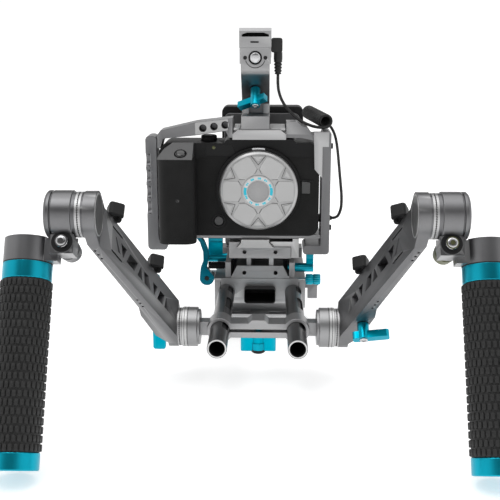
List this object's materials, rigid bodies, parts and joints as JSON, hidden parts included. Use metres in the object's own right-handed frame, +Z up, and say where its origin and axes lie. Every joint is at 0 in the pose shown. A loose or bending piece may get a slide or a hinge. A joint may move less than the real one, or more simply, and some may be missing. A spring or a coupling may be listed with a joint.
{
  "type": "cinema camera rig",
  "caption": "Hand-held rig: caged mirrorless camera with top handle on a quick-release rod baseplate, two swinging offset arms with rubber handgrips and a rear battery plate.",
  "frame": {"origin": "centre of the tripod thread in the baseplate's underside, in the underside's plane", "axes": "+Z up, -Y along the lens axis away from the camera, +X towards the operator's left"},
  "size_m": [0.3322, 0.4504, 0.274],
  "materials": {
    "grey_anodised": "satin anodised",
    "blue_anodised": "satin anodised",
    "bare_aluminium": "bead blasted",
    "steel": "machined",
    "black_plastic": "fine grain",
    "screen_glass": "gloss",
    "black_rubber": "moulded",
    "cable": "satin"
  },
  "bodies": {
    "base": {"baseplate": "grey_anodised", "baseplate_cheeks": "grey_anodised", "base_screws": "steel", "rod_right": "grey_anodised", "rod_left": "grey_anodised", "riser_plate": "grey_anodised", "qr_clamp": "grey_anodised", "power_plate": "black_plastic", "battery": "black_plastic"},
    "jaw": {"qr_jaw": "bare_aluminium"},
    "cam_lever": {"qr_lever": "blue_anodised"},
    "lock_lever": {"lock_lever": "blue_anodised"},
    "wing_lock": {"wing_lock": "blue_anodised"},
    "height_knob": {"height_knob": "blue_anodised"},
    "ratchet_lever": {"ratchet_lever": "grey_anodised"},
    "camera": {"camera_plate": "bare_aluminium", "camera_body": "black_plastic", "camera_grip": "black_rubber", "mount_ring": "steel", "cage_right": "grey_anodised", "cage_left": "grey_anodised", "cage_top": "grey_anodised", "cage_bottom": "grey_anodised", "cage_screws": "steel", "cable_clamp": "grey_anodised", "top_rail": "grey_anodised", "handle_post": "grey_anodised", "handle_bar": "grey_anodised", "trigger_plug": "black_plastic", "trigger_lead": "cable", "trigger_coil": "cable", "trigger_tail": "cable", "camera_plug": "black_plastic"},
    "shutter_button": {"shutter_button": "black_plastic"},
    "mode_dial": {"mode_dial": "black_plastic"},
    "release_button": {"release_button": "black_plastic"},
    "rear_screen": {"rear_screen": "screen_glass"},
    "body_cap": {"body_cap": "bare_aluminium"},
    "record_button": {"record_button": "steel"},
    "handle_lever": {"handle_lever": "blue_anodised"},
    "bracket": {"rosette_bracket": "grey_anodised"},
    "bracket_screw": {"bracket_screw": "blue_anodised"},
    "arm_right": {"arm_right": "grey_anodised", "arm_clips_right": "black_plastic"},
    "arm_left": {"arm_left": "grey_anodised", "arm_clips_left": "black_plastic"},
    "arm_lever_right": {"arm_lever_right": "blue_anodised"},
    "arm_lever_left": {"arm_lever_left": "blue_anodised"},
    "grip_right": {"knuckle_right": "grey_anodised", "grip_head_right": "grey_anodised", "grip_core_right": "blue_anodised", "grip_sleeve_right": "black_rubber", "grip_cap_right": "blue_anodised"},
    "grip_left": {"knuckle_left": "grey_anodised", "grip_head_left": "grey_anodised", "grip_core_left": "blue_anodised", "grip_sleeve_left": "black_rubber", "grip_cap_left": "blue_anodised"},
    "knuckle_knob_right": {"knuckle_knob_right": "grey_anodised"},
    "knuckle_knob_left": {"knuckle_knob_left": "grey_anodised"}
  },
  "joints": [
    {"name": "jaw_slide", "type": "slide", "parent": "base", "child": "jaw", "axis": [1, 0, 0], "range_m": [0, 0.0025]},
    {"name": "cam_lever_swing", "type": "hinge", "parent": "base", "child": "cam_lever", "pos_m": [-0.049, -0.019, 0.0277], "axis": [0, -1, 0], "range_deg": [0, 75]},
    {"name": "lock_lever_turn", "type": "hinge", "parent": "base", "child": "lock_lever", "pos_m": [-0.04, 0.004, 0.041], "axis": [-1, 0, 0], "range_deg": [0, 95]},
    {"name": "wing_lock_turn", "type": "hinge", "parent": "base", "child": "wing_lock", "pos_m": [0.036, -0.03, 0.041], "axis": [1, 0, 0], "range_deg": [-90, 90]},
    {"name": "height_knob_turn", "type": "hinge", "parent": "base", "child": "height_knob", "pos_m": [0.048, -0.02, 0.027], "axis": [1, 0, 0], "continuous": true},
    {"name": "ratchet_lever_turn", "type": "hinge", "parent": "base", "child": "ratchet_lever", "pos_m": [0.046, 0.01, 0.015], "axis": [1, 0, 0], "range_deg": [-60, 60]},
    {"name": "camera_slide", "type": "slide", "parent": "base", "child": "camera", "axis": [0, 1, 0], "range_m": [-0.01, 0.02]},
    {"name": "shutter_press", "type": "slide", "parent": "camera", "child": "shutter_button", "axis": [0, 0.5736, -0.8192], "range_m": [0, 0.0012], "stiffness_N_per_m": 300, "springref_m": -0.001},
    {"name": "mode_dial_turn", "type": "hinge", "parent": "camera", "child": "mode_dial", "pos_m": [-0.0455, -0.022, 0.156], "axis": [0, 0, 1], "continuous": true},
    {"name": "release_press", "type": "slide", "parent": "camera", "child": "release_button", "axis": [0, 1, 0], "range_m": [0, 0.0012], "stiffness_N_per_m": 300, "springref_m": -0.001},
    {"name": "screen_open", "type": "hinge", "parent": "camera", "child": "rear_screen", "pos_m": [0.0287, -0.0066, 0.104], "axis": [0, 0, -1], "range_deg": [0, 110]},
    {"name": "cap_twist", "type": "hinge", "parent": "camera", "child": "body_cap", "pos_m": [-0.0014, -0.052, 0.1156], "axis": [0, 1, 0], "range_deg": [0, 60]},
    {"name": "record_press", "type": "slide", "parent": "camera", "child": "record_button", "axis": [0, 1, 0], "range_m": [0, 0.0012], "stiffness_N_per_m": 300, "springref_m": -0.001},
    {"name": "handle_lever_turn", "type": "hinge", "parent": "camera", "child": "handle_lever", "pos_m": [-0.0042, -0.038, 0.201], "axis": [0, -0.6428, -0.766], "continuous": true},
    {"name": "bracket_slide", "type": "slide", "parent": "base", "child": "bracket", "axis": [0, 1, 0], "range_m": [-0.035, 0.025]},
    {"name": "bracket_screw_turn", "type": "hinge", "parent": "bracket", "child": "bracket_screw", "pos_m": [0, -0.1365, 0.008], "axis": [0, 0, 1], "continuous": true},
    {"name": "arm_swing_right", "type": "hinge", "parent": "bracket", "child": "arm_right", "pos_m": [-0.0657, -0.135, 0.02], "axis": [1, 0, 0], "range_deg": [-40, 90]},
    {"name": "arm_swing_left", "type": "hinge", "parent": "bracket", "child": "arm_left", "pos_m": [0.0657, -0.135, 0.02], "axis": [1, 0, 0], "range_deg": [-40, 90]},
    {"name": "arm_lever_turn_right", "type": "hinge", "parent": "arm_right", "child": "arm_lever_right", "pos_m": [-0.075, -0.135, 0.02], "axis": [-1, 0, 0], "range_deg": [-45, 60]},
    {"name": "arm_lever_turn_left", "type": "hinge", "parent": "arm_left", "child": "arm_lever_left", "pos_m": [0.079, -0.1735, 0.03196], "axis": [0, 0.7314, 0.682], "continuous": true},
    {"name": "grip_tilt_right", "type": "hinge", "parent": "arm_right", "child": "grip_right", "pos_m": [-0.118, -0.23969, 0.13226], "axis": [1, 0, 0], "range_deg": [-75, 75]},
    {"name": "grip_tilt_left", "type": "hinge", "parent": "arm_left", "child": "grip_left", "pos_m": [0.118, -0.23969, 0.13226], "axis": [1, 0, 0], "range_deg": [-75, 75]},
    {"name": "knuckle_knob_turn_right", "type": "hinge", "parent": "grip_right", "child": "knuckle_knob_right", "pos_m": [-0.1243, -0.23578, 0.10765], "axis": [0, 0.8829, -0.4695], "continuous": true},
    {"name": "knuckle_knob_turn_left", "type": "hinge", "parent": "grip_left", "child": "knuckle_knob_left", "pos_m": [0.1243, -0.23578, 0.10765], "axis": [0, 0.8829, -0.4695], "continuous": true}
  ],
  "couplings": [
    {"joint": "cam_lever_swing", "follows": "jaw_slide", "rad_per_m": 522}
  ]
}
